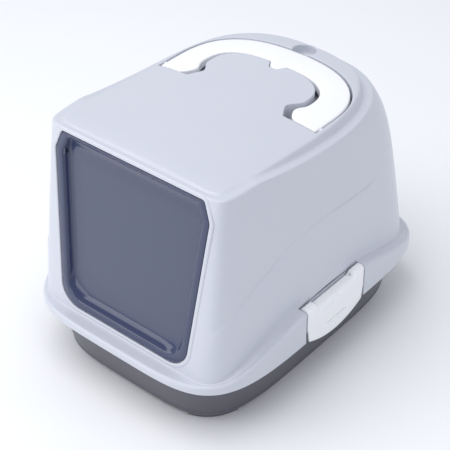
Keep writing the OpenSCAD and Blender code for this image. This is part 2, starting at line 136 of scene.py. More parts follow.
# ---------- mesh helpers, all in millimetres ----------
def makeMesh(name, points, faces):
    mesh = bpy.data.meshes.new(name)
    mesh.from_pydata((np.asarray(points, float) * mm).tolist(), [], faces)
    obj = bpy.data.objects.new(name, mesh)
    bpy.context.scene.collection.objects.link(obj)
    return obj


def loft(name, rings, caps="fan", loop=False):
    rings = np.asarray(rings, float)
    m, n = rings.shape[:2]
    points = rings.reshape(-1, 3)
    j = np.arange(m if loop else m - 1)[:, None] * n
    i = np.arange(n)[None, :]
    k, jUp = (i + 1) % n, (j + n) % (m * n)
    faces = np.stack([j + i, j + k, jUp + k, jUp + i], -1).reshape(-1, 4).tolist()
    first, last = list(range(n)), list(range((m - 1) * n, m * n))
    if not loop and caps == "fan":
        points = np.vstack([points, rings[0].mean(0), rings[-1].mean(0)])
        faces += [(m * n, first[(q + 1) % n], first[q]) for q in range(n)]
        faces += [(m * n + 1, last[q], last[(q + 1) % n]) for q in range(n)]
    elif not loop:
        faces += [first[::-1], last]
    return makeMesh(name, points, faces)


def combine(obj, tool, operation):  # union or difference, then the tool is gone
    modifier = obj.modifiers.new("combine", "BOOLEAN")
    modifier.operation = operation
    modifier.solver = "MANIFOLD"
    modifier.object = tool
    shape = bpy.data.meshes.new_from_object(obj.evaluated_get(bpy.context.evaluated_depsgraph_get()))
    obj.modifiers.remove(modifier)
    old, obj.data = obj.data, shape
    bpy.data.meshes.remove(old)
    bpy.data.objects.remove(tool)
    return obj


def fixNormals(obj):
    shape = bmesh.new()
    shape.from_mesh(obj.data)
    bmesh.ops.recalc_face_normals(shape, faces=shape.faces)
    shape.to_mesh(obj.data)
    shape.free()


def finishMesh(obj, body, material, replaced=(), sharp=32):
    obj.data.shade_smooth()
    obj.data.set_sharp_from_angle(angle=math.radians(sharp))
    obj.data.materials.clear()
    obj.data.materials.append(material)
    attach(obj, body)
    if replaced:
        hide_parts(*replaced)
    return obj


def smooth(t):
    t = np.clip(t, 0, 1)
    return t * t * (3 - 2 * t)


def quarter(r, steps=5):  # (across, up) round a quarter circle, from upright to flat
    return [(r * (1 - math.cos(a)), r * math.sin(a)) for a in np.linspace(0, math.pi / 2, steps)]


def rimCurve(r, steps=5):  # (outwards, down) round the convex edge of a hole
    return [(r * (1 - math.sin(a)), r * (1 - math.cos(a))) for a in np.linspace(0, math.pi / 2, steps)]


def outlineOffset(points, grow):  # moves a closed plan outline outwards along its normals
    ahead, behind = np.roll(points, -1, 0), np.roll(points, 1, 0)
    along = ahead - behind
    along /= np.linalg.norm(along, axis=1)[:, None]
    return points + grow * np.stack([along[:, 1], -along[:, 0]], 1)


# ---------- materials ----------
def socket(tree, name, kind, inOut="INPUT", value=None):
    made = tree.interface.new_socket(name, in_out=inOut, socket_type="NodeSocket" + kind)
    if value is not None:
        made.default_value = value


def link(tree, a, b):
    tree.links.new(a, b)


def mouldedSurface():  # fine grain and slow flow marks, shared by all the plastics
    tree = bpy.data.node_groups.new("mouldedSurface", "ShaderNodeTree")
    for name, value in (("Grain Size", 0.0009), ("Flow Size", 0.09), ("Roughness", 0.35), ("Spread", 0.06)):
        socket(tree, name, "Float", value=value)
    for name in ("Height", "Roughness", "Shade"):
        socket(tree, name, "Float", "OUTPUT")
    nodes = tree.nodes
    inward, outward = nodes.new("NodeGroupInput"), nodes.new("NodeGroupOutput")
    place = nodes.new("ShaderNodeTexCoord")

    def noise(size, detail):
        scale = nodes.new("ShaderNodeMath")
        scale.operation = "DIVIDE"
        scale.inputs[0].default_value = 1
        link(tree, inward.outputs[size], scale.inputs[1])
        made = nodes.new("ShaderNodeTexNoise")
        made.inputs["Detail"].default_value = detail
        link(tree, place.outputs["Object"], made.inputs["Vector"])
        link(tree, scale.outputs[0], made.inputs["Scale"])
        return made.outputs["Fac"]

    grain, flow = noise("Grain Size", 2), noise("Flow Size", 4)
    centred = nodes.new("ShaderNodeMath")
    centred.operation = "SUBTRACT"
    link(tree, flow, centred.inputs[0])
    centred.inputs[1].default_value = 0.5
    rough = nodes.new("ShaderNodeMath")
    rough.operation = "MULTIPLY_ADD"
    link(tree, centred.outputs[0], rough.inputs[0])
    link(tree, inward.outputs["Spread"], rough.inputs[1])
    link(tree, inward.outputs["Roughness"], rough.inputs[2])
    link(tree, grain, outward.inputs["Height"])
    link(tree, rough.outputs[0], outward.inputs["Roughness"])
    link(tree, flow, outward.inputs["Shade"])
    return tree


surfaceGroup = mouldedSurface()
finishes = {
    "hoodPlastic": {"colour": (0.60, 0.621, 0.682), "deep": (0.58, 0.601, 0.667), "rough": 0.30, "bump": 0.05, "coat": 0.15},
    "whitePlastic": {"colour": (0.93, 0.935, 0.95), "deep": (0.90, 0.905, 0.925), "rough": 0.28, "bump": 0.05, "coat": 0.2},
    "trayPlastic": {"colour": (0.092, 0.092, 0.112), "deep": (0.080, 0.080, 0.098), "rough": 0.36, "bump": 0.12, "coat": 0.0},
    "pinPlastic": {"colour": (0.62, 0.64, 0.70), "deep": (0.58, 0.60, 0.66), "rough": 0.4, "bump": 0.08, "coat": 0.0},
    "grillePlastic": {"colour": (0.50, 0.53, 0.62), "deep": (0.47, 0.50, 0.59), "rough": 0.45, "bump": 0.1, "coat": 0.0},
    "pivotPlastic": {"colour": (0.05, 0.06, 0.11), "deep": (0.04, 0.05, 0.09), "rough": 0.2, "bump": 0.04, "coat": 0.1},
}


def newMaterial(name):
    material = bpy.data.materials.new(name)
    material.use_nodes = True
    return material, material.node_tree, material.node_tree.nodes["Principled BSDF"]


def colourBetween(tree, factor, low, high):
    mix = tree.nodes.new("ShaderNodeMix")
    mix.data_type = "RGBA"
    mix.inputs["A"].default_value = (*low, 1)
    mix.inputs["B"].default_value = (*high, 1)
    link(tree, factor, mix.inputs["Factor"])
    return mix.outputs["Result"]


def plastic(name):
    look = finishes[name]
    material, tree, surface = newMaterial(name)
    moulded = tree.nodes.new("ShaderNodeGroup")
    moulded.node_tree = surfaceGroup
    moulded.inputs["Roughness"].default_value = look["rough"]
    link(tree, colourBetween(tree, moulded.outputs["Shade"], look["deep"], look["colour"]), surface.inputs["Base Color"])
    link(tree, moulded.outputs["Roughness"], surface.inputs["Roughness"])
    bump = tree.nodes.new("ShaderNodeBump")
    bump.inputs["Strength"].default_value = look["bump"]
    bump.inputs["Distance"].default_value = 0.0002
    link(tree, moulded.outputs["Height"], bump.inputs["Height"])
    link(tree, bump.outputs["Normal"], surface.inputs["Normal"])
    surface.inputs["Coat Weight"].default_value = look["coat"]
    surface.inputs["Coat Roughness"].default_value = 0.12
    return material


# the door's two colours: its tint, and a deeper tint that also paints the shade on the flange, the dish walls and under
# the head
doorLook = {"panel": (0.066, 0.080, 0.138), "border": (0.018, 0.030, 0.094), "rough": 0.14, "alpha": 0.95}


def tintedPlastic():  # darker where one looks through more of it, and painted shade on the flange, the dish walls and under the head, read from the door's own attribute
    material, tree, surface = newMaterial("tintedDoor")
    depth = tree.nodes.new("ShaderNodeAttribute")
    depth.attribute_name = "clearAndUnshaded"
    moulded = tree.nodes.new("ShaderNodeGroup")
    moulded.node_tree = surfaceGroup
    moulded.inputs["Roughness"].default_value = doorLook["rough"]
    moulded.inputs["Spread"].default_value = 0.04
    # deeper tint and painted shade where the attribute is low, the plain tint on the panel
    link(tree, colourBetween(tree, depth.outputs["Fac"], doorLook["border"], doorLook["panel"]), surface.inputs["Base Color"])
    link(tree, moulded.outputs["Roughness"], surface.inputs["Roughness"])
    surface.inputs["Alpha"].default_value = doorLook["alpha"]
    surface.inputs["Coat Weight"].default_value = 0.3
    surface.inputs["Coat Roughness"].default_value = 0.05
    return material


def carbonFleece():
    material, tree, surface = newMaterial("carbonFleece")
    place = tree.nodes.new("ShaderNodeTexCoord")
    fibres = tree.nodes.new("ShaderNodeTexNoise")
    fibres.inputs["Scale"].default_value = 700
    fibres.inputs["Detail"].default_value = 6
    fibres.inputs["Distortion"].default_value = 1.5
    link(tree, place.outputs["Object"], fibres.inputs["Vector"])
    link(tree, colourBetween(tree, fibres.outputs["Fac"], (0.004, 0.004, 0.005), (0.03, 0.03, 0.034)), surface.inputs["Base Color"])
    bump = tree.nodes.new("ShaderNodeBump")
    bump.inputs["Strength"].default_value = 0.8
    bump.inputs["Distance"].default_value = 0.0008
    link(tree, fibres.outputs["Fac"], bump.inputs["Height"])
    link(tree, bump.outputs["Normal"], surface.inputs["Normal"])
    surface.inputs["Roughness"].default_value = 0.95
    return material


hoodPlastic, whitePlastic, trayPlastic = plastic("hoodPlastic"), plastic("whitePlastic"), plastic("trayPlastic")
pinPlastic, grillePlastic, pivotPlastic = plastic("pinPlastic"), plastic("grillePlastic"), plastic("pivotPlastic")
tintedDoor, fleece = tintedPlastic(), carbonFleece()
print("materials made")

# ---------- the hood ----------
hoodLow, hoodHigh = nodeBox("hood")
halfW, halfD, roofZ, lipZ = hoodHigh[0], hoodHigh[1], hoodHigh[2], hoodLow[2]
hood = {
    "ringPoints": 384, "wall": 2.6,
    "lipHeight": 13, "lipRound": 4, "humpRise": 46, "humpRound": 5, "humpReach": 215,
    "ledge": 16.5, "ledgeFront": 21.5, "ledgeBack": 15, "ledgeFillet": 1.6,
    "sideLean": 14, "backLean": 28, "frontLean": 40, "pinch": 0.06,
    "edgeRound": 3, "backRound": 7, "shoulder": 10.5, "step": 7.5, "stepFoot": 0.5,
    "sideDrop": 21, "frontDrop": 4.5, "edgeTurn": 60, "crown": 8, "crownAt": 136, "frontEase": 2.5, "backEase": 5,
    "creaseTop": 251, "creaseFoot": 174, "creaseProud": 2.0, "creaseWidth": 2.6,
}
ledgeZ = lipZ + hood["lipHeight"]
wallA, wallBack, wallFront = halfW - hood["ledge"], halfD - hood["ledgeBack"], halfD - hood["ledgeFront"]
angles = np.linspace(0, 2 * math.pi, hood["ringPoints"], endpoint=False)
angles = angles + math.radians(8.6) * np.sin(4 * angles)  # points crowd at the corners


def plan(a, front, back, nFront, nBack, pinch=0):  # a squared ellipse with its own front and back
    c, s = np.cos(angles), np.sin(angles)
    n, b = np.where(s < 0, nFront, nBack), np.where(s < 0, front, back)
    r = ((abs(c) / a) ** n + (abs(s) / b) ** n) ** (-1 / n)
    x, y = r * c, r * s
    return np.stack([x * (1 - pinch * (np.minimum(0, y) / front) ** 2), y], 1)


def withZ(xy, z):
    return np.column_stack([xy, np.broadcast_to(z, len(xy))])


def humpAt(xy):
    wave = np.cos(math.pi / 2 * np.minimum(abs(xy[:, 1]) / hood["humpReach"], 1.4))
    wave = 0.5 * (wave + np.sqrt(wave ** 2 + 0.004)) / 1.001
    return wave * smooth((abs(xy[:, 0]) / halfW - 0.7) / 0.1)


def lipTop(xy):
    return ledgeZ + hood["humpRise"] * humpAt(xy)


def edgeZ(y):
    low, high = roofZ - hood["sideDrop"], roofZ - hood["frontDrop"]
    return low + (high - low) * np.clip((hood["edgeTurn"] - y) / (halfD * 0.74), 0, 1) ** 2


def roofAt(x, y):
    fade = np.where(y > 0, 1, np.maximum(0.25, 1 + y / (halfD * 0.95)))
    z = roofZ - hood["crown"] * (x / hood["crownAt"]) ** 2 * fade
    z = z - hood["frontEase"] * (np.maximum(0, -y - halfD * 0.6) / (halfD * 0.15)) ** 2
    return z - hood["backEase"] * (np.maximum(0, y - halfD * 0.4) / (halfD * 0.35)) ** 2


def lipRing(inset):
    return plan(halfW - inset, halfD - inset, halfD - inset, 4.75, 5)


def creaseZ(y):
    ahead = np.clip((-15 - y) / 201, 0, 1) ** 1.9
    return hood["creaseTop"] - (hood["creaseTop"] - hood["creaseFoot"]) * ahead - 5 * smooth((y + 15) / 100)


def creaseAmount(xy):
    y = xy[:, 1]
    fade = smooth((y + 222) / 14) * (1 - smooth((y - 90) / 40))
    quiet = 1 - 0.6 * smooth((y + 75) / 40) * (1 - smooth((y - 5) / 25))
    return hood["creaseProud"] * fade * quiet * smooth((abs(xy[:, 0]) / wallA - 0.8) / 0.06)


def wallRing(z, inset=0.0):  # z is a height for each point of the ring
    foot = plan(wallA - inset, wallFront - inset, wallBack - inset, 12, 6, hood["pinch"])
    top = edgeZ(foot[:, 1]) - hood["edgeRound"]
    u = (z - ledgeZ) / (top - ledgeZ)
    xy = plan(wallA - hood["sideLean"] * u - inset, wallFront - hood["frontLean"] * u - inset,
              wallBack - hood["backLean"] * u - inset, 12 + 10 * u, 6 - 1.8 * u - 1.4 * np.clip(u, 0, 1) ** 6, hood["pinch"])
    below = creaseZ(xy[:, 1]) - z
    proud = creaseAmount(xy) * smooth(below / hood["creaseWidth"] + 0.5) * np.exp(-np.maximum(below, 0) / 45)
    if inset == 0:
        xy[:, 0] += np.sign(xy[:, 0]) * proud
    return np.column_stack([xy, z])


def shoulderRing(inset, up=0.0):
    back = inset + (hood["backRound"] - hood["edgeRound"]) * min(inset / hood["edgeRound"], 1)
    xy = plan(wallA - hood["sideLean"] - inset, wallFront - hood["frontLean"] - inset * 0.6,
              wallBack - hood["backLean"] - back, 22, 2.75, hood["pinch"])
    return withZ(xy, edgeZ(xy[:, 1]) + up)


def stepRing(v):  # v runs from 0 at the foot of the step to 1 on the raised panel
    ring = shoulderRing(hood["shoulder"] + hood["step"] * v)
    low = ring[:, 2] + hood["stepFoot"] * v
    high = np.maximum(roofAt(ring[:, 0], ring[:, 1]), low)
    ring[:, 2] = low + (high - low) * smooth(v) ** 1.7
    return ring


def roofRing(k, lower=0.0):
    edge = stepRing(1.0)[:, :2] * k
    return withZ(edge, roofAt(edge[:, 0], edge[:, 1]) - lower)


def outerRings():
    outline, inner = lipRing(0), lipRing(1) - lipRing(0)
    rings = [withZ(outline + inner * a, lipZ + 1.2 - b) for a, b in reversed(quarter(1.2, 4))]
    top, bulge = lipTop(outline), hood["lipRound"] + hood["humpRound"] * humpAt(outline)
    rings += [withZ(outline, lipZ + 1.2 + (top - bulge - lipZ - 1.2) * t) for t in (0.34, 0.67)]
    for a, b in quarter(1, 9):
        rings.append(withZ(outline + inner * (bulge * a)[:, None], top - bulge * (1 - b)))
    fillet = hood["ledgeFillet"]
    foot = plan(wallA + fillet, wallFront + fillet, wallBack + fillet, 12, 6, hood["pinch"])
    start, ledgeEnd = rings[-1], withZ(foot, lipTop(foot))
    rings += [start + (ledgeEnd - start) * t for t in (0.3, 0.6, 1.0)]
    footZ = ledgeEnd[:, 2]
    for a, b in quarter(fillet, 4)[1:]:
        ring = wallRing(footZ + a)
        spread = plan(wallA + fillet - b, wallFront + fillet - b, wallBack + fillet - b, 12, 6, hood["pinch"])
        ring[:, :2] = spread
        rings.append(ring)
    base = footZ + fillet
    wallTop = edgeZ(foot[:, 1]) - hood["edgeRound"]
    crease = creaseZ(foot[:, 1])
    rings += [wallRing(base + (crease - 7 - base) * t) for t in np.linspace(0, 1, 24)[1:]]
    rings += [wallRing(crease + d) for d in (-5, -3.4, -2.4, -1.7, -1.1, -0.6, -0.1, 0.4, 0.9, 1.6, 2.8, 4.8)]
    rings += [wallRing(crease + 7 + (wallTop - crease - 7) * t) for t in np.linspace(0, 1, 24)]
    rings += [shoulderRing(a, b - hood["edgeRound"]) for a, b in quarter(hood["edgeRound"], 6)[1:]]
    rings += [shoulderRing(d) for d in np.linspace(hood["edgeRound"], hood["shoulder"], 5)[1:-1]]
    rings += [stepRing(v) for v in np.linspace(0, 1, 13)]
    rings += [roofRing(k) for k in np.linspace(1, 0.02, 34)[1:]]
    return rings


def innerRings():
    wall, outline = hood["wall"], lipRing(hood["wall"])
    bulge = hood["humpRound"] * humpAt(outline)
    foot = plan(wallA - wall, wallFront - wall, wallBack - wall, 12, 6, hood["pinch"])
    low, high = lipTop(foot) - wall, edgeZ(foot[:, 1]) - hood["edgeRound"] - wall
    rings = [roofRing(k, wall) for k in np.linspace(0.02, 0.96, 10)]
    rings += [shoulderRing(hood["shoulder"] + hood["step"] * 0.6 + wall, hood["stepFoot"] - wall)]
    rings += [shoulderRing(hood["edgeRound"] + wall, -wall)]
    rings += [wallRing(low + (high - low) * t, wall) for t in np.linspace(1, 0, 14)]
    return rings + [withZ(outline, lipTop(outline) - wall - bulge), withZ(outline, lipZ)]


# ---------- the doorway and the handle's outline, which the hood and the moving pieces share ----------
doorPivot, handlePivot, clipPivot = pivotOf("door_swing"), pivotOf("handle_fold"), pivotOf("clip_right_swing")
leanAngle = math.atan(hood["frontLean"] / (roofZ - hood["frontDrop"] - hood["edgeRound"] - ledgeZ))
doorway = {
    "foot": 228, "top": 270, "z": 104, "head": 10, "lowerRound": 34, "cutHigh": 28, "cutWide": 11,
    "rebate": 3.2, "stop": 7, "stopThick": 2.6, "rim": 1.3, "bead": 6, "beadProud": 0.9,
}
doorwayY = wallFront - (doorway["z"] - ledgeZ) * math.tan(leanAngle)
doorwayH = (roofZ - doorway["head"] - doorway["z"]) / math.cos(leanAngle)


def onFront(xs, depth):  # places on the sloping front: across, up the slope, and depth behind it
    s, c = math.sin(leanAngle), math.cos(leanAngle)
    x, up = xs[:, 0], xs[:, 1]
    depth = np.broadcast_to(depth, len(x))
    return np.column_stack([x, -doorwayY + up * s + depth * c, doorway["z"] + up * c - depth * s])


def roundedPath(corners, radii, spacing=2.5):  # a closed outline with each corner rounded, evenly divided
    corners = np.asarray(corners, float)
    path = []
    for i, (p, r) in enumerate(zip(corners, radii)):
        a, b = corners[i - 1] - p, corners[(i + 1) % len(corners)] - p
        a, b = a / np.linalg.norm(a), b / np.linalg.norm(b)
        half = math.acos(np.clip(a @ b, -1, 1)) / 2
        reach = r / math.tan(half)
        centre = p + (a + b) / np.linalg.norm(a + b) * r / math.sin(half)
        start, end = p + a * reach - centre, p + b * reach - centre
        t0, t1 = math.atan2(start[1], start[0]), math.atan2(end[1], end[0])
        t1 = t0 + (t1 - t0 + math.pi) % (2 * math.pi) - math.pi
        steps = max(4, int(abs(t1 - t0) * r / 1.2))
        path += [centre + r * np.array([math.cos(t), math.sin(t)]) for t in np.linspace(t0, t1, steps)]
    path = np.array(path)
    dense = []
    for p, q in zip(path, np.roll(path, -1, 0)):
        n = max(1, int(np.linalg.norm(q - p) / spacing))
        dense += [p + (q - p) * k / n for k in range(n)]
    return np.array(dense)


doorCorners = [(doorway["foot"] / 2, 0), (doorway["top"] / 2, doorwayH - doorway["cutHigh"]),
               (doorway["top"] / 2 - doorway["cutWide"], doorwayH)]
doorCorners = doorCorners + [(-x, y) for x, y in reversed(doorCorners)]
doorRadii = [doorway["lowerRound"], 14, 5, 5, 14, doorway["lowerRound"]]
doorwayPath = roundedPath(doorCorners, doorRadii)


def doorwayRing(grow, depth):
    return onFront(outlineOffset(doorwayPath, grow), depth)


handle = {
    "width": 272, "front": 14, "back": 155, "yc": 48, "grip": 188, "gripYc": 57, "gripDeep": 54,
    "thick": 12, "below": 0.4, "gap": 3, "pocket": 9, "pocketEnd": 34, "tabWide": 24, "tabLong": 14, "round": 2.4,
}
recess = {"deep": 23, "rim": 0.9, "cornerRound": 1.2, "thumbRound": 17.4, "thumbBack": 13}


def bow(a, b, n, yc, t):
    c, s = np.cos(t), np.sin(t)
    r = ((abs(c) / a) ** n + (abs(s) / b) ** n) ** (-1 / n)
    return np.stack([r * c, yc + r * s], 1)


def curveThrough(points, count):  # a smooth run through a few points
    points = np.asarray(points, float)
    padded = np.vstack([2 * points[0] - points[1], points, 2 * points[-1] - points[-2]])
    out = []
    for t in np.linspace(0, len(points) - 1 - 1e-9, count):
        i, f = int(t), t - int(t)
        p0, p1, p2, p3 = padded[i:i + 4]
        out.append(0.5 * (2 * p1 + (p2 - p0) * f + (2 * p0 - 5 * p1 + 4 * p2 - p3) * f ** 2 + (3 * p1 - p0 - 3 * p2 + p3) * f ** 3))
    return np.array(out)


def handleEdges(grow=0.0, hold=0.0, pocket=0.0, legPoints=22, bowPoints=120):  # outer and inner edge, right to left
    f = np.linspace(0, 1, legPoints, endpoint=False)
    half, t = handle["width"] / 2, np.linspace(0, math.pi, bowPoints)
    y0 = handle["front"] - grow
    outLeg = np.stack([np.full(legPoints, half + grow), y0 + (handle["yc"] - y0) * f], 1)
    out = np.vstack([outLeg, bow(half + grow, handle["back"] - handle["yc"] + grow, 2.6, handle["yc"], t)])
    grip = handle["grip"] / 2
    legs = [(grip + 4, y0), (grip - 3.5, 23), (grip - 8, 33), (grip - 6.5, 41), (grip - 2, 49), (grip, handle["gripYc"])]
    inLeg = curveThrough(legs, legPoints + 1)[:-1]

    def wide(y):
        return hold + pocket * (1 - np.clip((y - handle["pocketEnd"]) / 41, 0, 1))
    inLeg[:, 0] -= wide(inLeg[:, 1])
    start = wide(np.array([handle["gripYc"]]))[0]
    inner = bow(grip - start, handle["gripDeep"] - hold * 0.5, 3, handle["gripYc"], t)
    inner[:, 1] -= handle["tabLong"] * np.exp(-(2 * inner[:, 0] / handle["tabWide"]) ** 4)
    inn = np.vstack([inLeg, inner])
    mirror = [-1, 1]
    return np.vstack([out, (outLeg * mirror)[::-1]]), np.vstack([inn, (inLeg * mirror)[::-1]])


def recessSections(out, inn):  # a rounded rim, upright walls and a floor that follows the roof
    side = [(-recess["rim"], -20)] + [(-across, down) for across, down in rimCurve(recess["rim"])]
    r, deep = recess["cornerRound"], recess["deep"]
    side += [(r - r * math.cos(a), deep - r + r * math.sin(a)) for a in np.linspace(0, math.pi / 2, 4)]
    rings = []
    for o, n in zip(out, inn):
        wide = np.linalg.norm(n - o)
        across = (n - o) / wide
        section = side + [(wide - s, d) for s, d in reversed(side)]
        spots = [(o + across * s, d) for s, d in section]
        rings.append([(*p, roofAt(*p) - d) for p, d in spots])
    return rings


def barSections(out, inn, top, bottom):
    rings = []
    for o, n in zip(out, inn):
        ro, rn = roofAt(*o), roofAt(*n)
        rings.append([(*n, rn - top), (*o, ro - top), (*o, ro - bottom), (*n, rn - bottom)])
    return rings


clip = {
    "length": 128, "thick": 2.7, "below": 17, "lugLong": 18, "lugRound": 6, "notch": 133, "bearing": 5,
    "slotLong": 46, "slotUp": 6.7, "slotDeep": 1.9,
}


def makeHood():
    shell = loft("hoodShell", innerRings() + outerRings())
    wall = hood["wall"]
    out, inn = handleEdges(handle["gap"] + wall, handle["gap"] + 1 + wall, handle["pocket"], 10, 60)
    tub = loft("tub", barSections(out, inn, 1.2, recess["deep"] + wall), caps="face")
    combine(shell, tub, "UNION")
    thumbY = handle["back"] + recess["thumbBack"]
    turn = np.linspace(0, 2 * math.pi, 96, endpoint=False)

    def circle(r, z):
        return np.column_stack([r * np.cos(turn), thumbY + r * np.sin(turn), np.broadcast_to(z, len(turn))])
    r = recess["thumbRound"]
    combine(shell, loft("thumbTub", [circle(r + wall, roofZ - 23), circle(r + wall, roofZ - 5.5)]), "UNION")
    # the frame that the door stops on, and the bead round the doorway
    rebate, stopEnd = doorway["rebate"], doorway["rebate"] + doorway["stopThick"]
    stopRings = [doorwayRing(g, d) for g, d in ((wall, 1.0), (wall, stopEnd), (-doorway["stop"], stopEnd), (-doorway["stop"], 1.0))]
    combine(shell, loft("stopFrame", stopRings, loop=True), "UNION")
    bead, proud = doorway["bead"], doorway["beadProud"]
    beadRings = [doorwayRing(g, d) for g, d in ((-1, 1.8), (-1, -proud * 0.3), (0.6, -proud), (bead - 2.4, -proud),
                                                (bead - 0.9, -proud * 0.7), (bead, 0.1), (bead + 0.5, 1.8))]
    combine(shell, loft("bead", beadRings, loop=True), "UNION")
    # blocks that carry the clips' bearings
    for side in (-1, 1):
        x0, x1 = side * (clipPivot[0] - 12.5), side * (halfW - 1.6)
        y1 = clip["notch"] / 2 + wall
        block = [[(x0, -y1, z), (x1, -y1, z), (x1, y1, z), (x0, y1, z)] for z in (ledgeZ - 0.6, clipPivot[2] + 1.4)]
        block = [ring if side > 0 else ring[::-1] for ring in block]
        combine(shell, loft("block", block, caps="face"), "UNION")
    # the handle's recess with its two pockets
    out, inn = handleEdges(handle["gap"], handle["gap"] + 1, handle["pocket"])
    hollow = loft("recess", recessSections(out, inn), caps="face")
    fixNormals(hollow)
    combine(shell, hollow, "DIFFERENCE")
    rim = recess["rim"]
    scoop = [circle(r - 9, roofZ - 20.4), circle(r - 5, roofZ - 19.6), circle(r - 2, roofZ - 17.4), circle(r - 0.5, roofZ - 14.5), circle(r, roofZ - 11)]
    for grow, depth in reversed(rimCurve(rim)):
        ring = circle(r + grow, 0)
        ring[:, 2] = roofAt(ring[:, 0], ring[:, 1]) - depth
        scoop.append(ring)
    scoop.append(circle(r + rim, roofZ + 20))
    combine(shell, loft("scoop", scoop), "DIFFERENCE")
    # the doorway: rounded rim, ledge, and the way through
    rim = doorway["rim"]
    steps = [(rim, -25)] + [(across, down - proud) for across, down in rimCurve(rim)]
    steps += [(0, rebate), (-doorway["stop"], rebate), (-doorway["stop"], 34)]
    combine(shell, loft("opening", [doorwayRing(g, d) for g, d in steps[::-1]], caps="face"), "DIFFERENCE")
    # room behind the door's top edge and its bosses
    axisUp = (doorPivot[2] - doorway["z"] + 5.5 * math.sin(leanAngle)) / math.cos(leanAngle)
    roomPath = doorwayPath.copy()
    roomPath[:, 1] = np.maximum(roomPath[:, 1], axisUp - 8)
    keep = np.linalg.norm(roomPath - np.roll(roomPath, 1, 0), axis=1) > 0.05
    roomPath = roomPath[keep]
    combine(shell, loft("room", [onFront(roomPath, 26), onFront(roomPath, rebate - 0.4)], caps="face"), "DIFFERENCE")
    # notches for the clips, their vertical edges rounded
    r, deep = 2.2, clipPivot[0] + 3.5
    edge = [(halfW - r * (1 - math.sin(t)), clip["notch"] / 2 + r * (1 - math.cos(t))) for t in np.linspace(0, math.pi / 2, 6)]
    right = [(deep, clip["notch"] / 2)] + edge + [(halfW + 8, clip["notch"] / 2 + r)]
    plate = right + [(x, -y) for x, y in reversed(right)]
    pocketY = clip["length"] / 2 - clip["lugLong"] - 4
    for side in (-1, 1):
        flip = 1 if side < 0 else -1
        combine(shell, loft("notch", [[(side * x, y, z) for x, y in plate[::flip]] for z in (lipZ - 5, clipPivot[2] + 60)], caps="face"), "DIFFERENCE")
        for y0, y1 in ((-clip["notch"] / 2, -pocketY), (pocketY, clip["notch"] / 2)):
            x0, x1, z0 = clipPivot[0] - 8, clipPivot[0] + 12, clipPivot[2] - 9
            box = [(x0, y0), (x1, y0), (x1, y1), (x0, y1)][::-flip]
            combine(shell, loft("pocket", [[(side * x, y, z) for x, y in box] for z in (z0, z0 + 50)], caps="face"), "DIFFERENCE")
        hollow = [(deep + 1, -4.6), (clipPivot[0] - 5, -3.6), (clipPivot[0] - 7.5, 4), (clipPivot[0] - 7.5, 40), (deep + 1, 40)]
        ends = [[(side * x, y, clipPivot[2] - 5 + z) for x, z in hollow[::-flip]] for y in (-pocketY - 1, pocketY + 1)]
        combine(shell, loft("hollow", ends, caps="face"), "DIFFERENCE")
    shell.name = shell.data.name = "hood_shell"
    return finishMesh(shell, "hood", hoodPlastic, ["hood"])


hoodPiece = makeHood()
print("hood made:", len(hoodPiece.data.polygons), "faces")

# ---------- the door ----------
door = {
    "gap": 1.2, "thick": 2.6, "dish": 11, "cutArc": 10, "arc": 14, "edge": 26,
    # distance in from the sides, the top and the foot, the lower corners' radius, the depth and how clear the plastic
    # is, set lower on the flange and dish walls also as painted shade
    "front": [(1.2, 1.2, 1.2, 33, 2.2, 0.5), (1.2, 1.2, 1.2, 33, 1.1, 0.5), (1.5, 1.5, 1.5, 33, 0.4, 0.5), (2.2, 2.2, 2.2, 32, 0, 0.5),
              (9.6, 3.6, 9.6, 28, 0, 0.55), (11.2, 4.6, 11.4, 28, 0.35, 0.45), (12.6, 5.8, 12.8, 28, 1.5, 0.2), (13.8, 9, 15, 31, 4.6, 0.05),
              (14.8, 14, 18, 35, 7.4, 0.15), (15.8, 20, 22, 39, 9.6, 0.4), (17.4, 26, 25.5, 43, 10.7, 0.7), (20, 31, 28, 46, 11, 0.85)],
    "back": [(20.5, 31.5, 28.5, 46, 13.6), (14.6, 24, 22, 38, 12.4), (10.6, 8, 11, 28, 4.0), (8.6, 3.6, 9, 28, 2.6), (1.6, 1.6, 1.6, 33, 2.6)],
    "boss": (119, 129), "bossUp": 5, "bossDeep": (2.0, 10.5),
}


def meet(p, u, q, v):  # where two straight edges cross
    t = ((q - p)[0] * v[1] - (q - p)[1] * v[0]) / (u[0] * v[1] - u[1] * v[0])
    return p + u * t


def doorOutline(side, top, foot, lowerRound):
    sideFoot, cutLow, cutHigh = [np.array(p, float) for p in doorCorners[:3]]
    up, cut = (cutLow - sideFoot), (cutHigh - cutLow)
    up, cut = up / np.linalg.norm(up), cut / np.linalg.norm(cut)
    sideStart, cutStart = sideFoot + side * np.array([-up[1], up[0]]), cutLow + side * np.array([-cut[1], cut[0]])
    flat, topLine = np.array([1.0, 0]), np.array([0, doorwayH - top])
    corners = [meet(sideStart, up, np.array([0, float(foot)]), flat)]
    lower, upper = meet(sideStart, up, cutStart, cut), meet(cutStart, cut, topLine, flat)
    if upper[1] < lower[1] + 1.2:
        upper = meet(sideStart, up, topLine, flat)
        lower = upper - 1.2 * up
    corners += [lower, upper]
    corners += [p * [-1, 1] for p in reversed(corners)]
    radii = [lowerRound, max(3, 14 - side), 4.5]
    return evenPath(corners, radii + radii[::-1], [door["arc"], door["cutArc"], door["cutArc"]] * 2)


